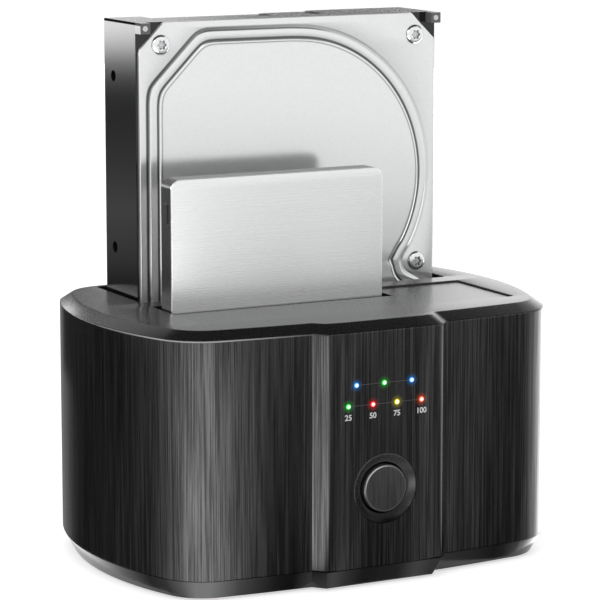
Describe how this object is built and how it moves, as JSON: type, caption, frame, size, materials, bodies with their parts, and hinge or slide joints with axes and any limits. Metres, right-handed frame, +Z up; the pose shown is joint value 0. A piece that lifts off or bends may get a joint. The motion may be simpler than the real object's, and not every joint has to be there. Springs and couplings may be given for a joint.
{
  "type": "drive duplicator",
  "caption": "Dual-bay desktop hard-drive dock and duplicator with curved black housing, sprung bay flaps, clone button, status lamps and two seated drives.",
  "frame": {"origin": "middle of the footprint's box, on the desk under the feet", "axes": "+Z up, -Y the front with the control panel, +X to the right as seen from the front"},
  "size_m": [0.1402, 0.1026, 0.1604],
  "materials": {
    "shell": "vertical hairline brushed ABS, black",
    "cover": "fine satin ABS, black",
    "base": "semi-gloss ABS, black",
    "rubber": "matt",
    "liner": "moulded ABS, black",
    "flap": "fine satin ABS, black",
    "spring_steel": "drawn wire",
    "pin_steel": "ground",
    "screw_black": "black zinc",
    "screw_steel": "zinc plated",
    "circuit_board": "solder mask over FR-4",
    "chip": "moulded epoxy",
    "capacitor": "sleeved can",
    "led_body": "moulded package",
    "socket": "glass-filled nylon",
    "plug": "glass-filled nylon",
    "port_steel": "nickel plated",
    "usb_blue": "moulded PBT, blue",
    "port_black": "moulded nylon",
    "rocker": "gloss",
    "lamp_blue": "clear acrylic, lit",
    "lamp_green": "clear acrylic, lit",
    "lamp_red": "clear acrylic, lit",
    "lamp_yellow": "clear acrylic, lit",
    "lamp_orange": "clear acrylic, lit",
    "bezel": "polished dish",
    "button": "spun satin",
    "hdd_casting": "black-coated die casting",
    "hdd_cover": "bright satin stainless",
    "hdd_board": "solder mask over FR-4",
    "ssd_case": "charcoal anodised",
    "ssd_face": "horizontal brushed"
  },
  "bodies": {
    "dock": {"wall_shell": "shell", "top_cover": "cover", "base_tray": "base", "rubber_feet": "rubber", "case_screws": "screw_black", "front_bay_liner": "liner", "rear_bay_liner": "liner", "front_hinge_pins": "pin_steel", "rear_hinge_pins": "pin_steel", "main_board": "circuit_board", "board_screws": "screw_steel", "board_chips": "chip", "capacitors": "capacitor", "front_socket": "socket", "rear_socket": "socket", "usb_shell": "port_steel", "usb_tongues": "usb_blue", "dc_jack": "port_black", "dc_pin": "pin_steel", "switch_body": "port_black", "front_board": "circuit_board", "front_board_screws": "screw_steel", "led_chips": "led_body", "lamps_blue": "lamp_blue", "lamps_green": "lamp_green", "lamp_red": "lamp_red", "lamp_yellow": "lamp_yellow", "lamp_orange": "lamp_orange", "button_bezel": "bezel", "clone_switch": "port_black"},
    "front_big_flap_assembly": {"front_big_flap": "flap", "front_big_spring": "spring_steel"},
    "front_small_flap_assembly": {"front_small_flap": "flap", "front_small_spring": "spring_steel"},
    "rear_big_flap_assembly": {"rear_big_flap": "flap", "rear_big_spring": "spring_steel"},
    "rear_small_flap_assembly": {"rear_small_flap": "flap", "rear_small_spring": "spring_steel"},
    "rocker": {"power_rocker": "rocker"},
    "button": {"clone_button": "button"},
    "hard_drive": {"hdd_casting": "hdd_casting", "hdd_cover": "hdd_cover", "hdd_cover_screws": "screw_steel", "hdd_board": "hdd_board", "hdd_plug": "plug"},
    "solid_state_drive": {"ssd_case": "ssd_case", "ssd_face": "ssd_face", "ssd_plug": "plug"}
  },
  "joints": [
    {"name": "clone_button_press", "type": "slide", "parent": "dock", "child": "button", "axis": [0, 1, 0], "range_m": [0, 0.0008], "stiffness_N_per_m": 1500, "springref_m": -0.0005},
    {"name": "power_rocker_tip", "type": "hinge", "parent": "dock", "child": "rocker", "pos_m": [0.032, 0.0451, 0.0153], "axis": [-1, 0, 0], "range_deg": [0, 16]},
    {"name": "front_big_flap_hinge", "type": "hinge", "parent": "dock", "child": "front_big_flap_assembly", "pos_m": [0.0032, -0.03085, 0.076], "axis": [-1, 0, 0], "range_deg": [0, 86], "stiffness_Nm_per_rad": 0.003, "springref_deg": -40.11},
    {"name": "front_small_flap_hinge", "type": "hinge", "parent": "dock", "child": "front_small_flap_assembly", "pos_m": [0.0032, 0.00195, 0.076], "axis": [-1, 0, 0], "range_deg": [0, 90]},
    {"name": "rear_big_flap_hinge", "type": "hinge", "parent": "dock", "child": "rear_big_flap_assembly", "pos_m": [0.0032, 0.01005, 0.076], "axis": [1, 0, 0], "range_deg": [-3.2, 0], "stiffness_Nm_per_rad": 0.003, "springref_deg": 85.94},
    {"name": "rear_small_flap_hinge", "type": "hinge", "parent": "dock", "child": "rear_small_flap_assembly", "pos_m": [0.0032, 0.04285, 0.076], "axis": [-1, 0, 0], "range_deg": [-13, 0], "stiffness_Nm_per_rad": 0.001, "springref_deg": 74.48},
    {"name": "hard_drive_lift", "type": "slide", "parent": "dock", "child": "hard_drive", "axis": [0, 0, 1], "range_m": [0, 0.16]},
    {"name": "solid_state_drive_lift", "type": "slide", "parent": "dock", "child": "solid_state_drive", "axis": [0, 0, 1], "range_m": [0, 0.32]}
  ],
  "couplings": [
    {"joint": "front_small_flap_hinge", "follows": "solid_state_drive_lift", "rad_per_m": 4.875}
  ]
}
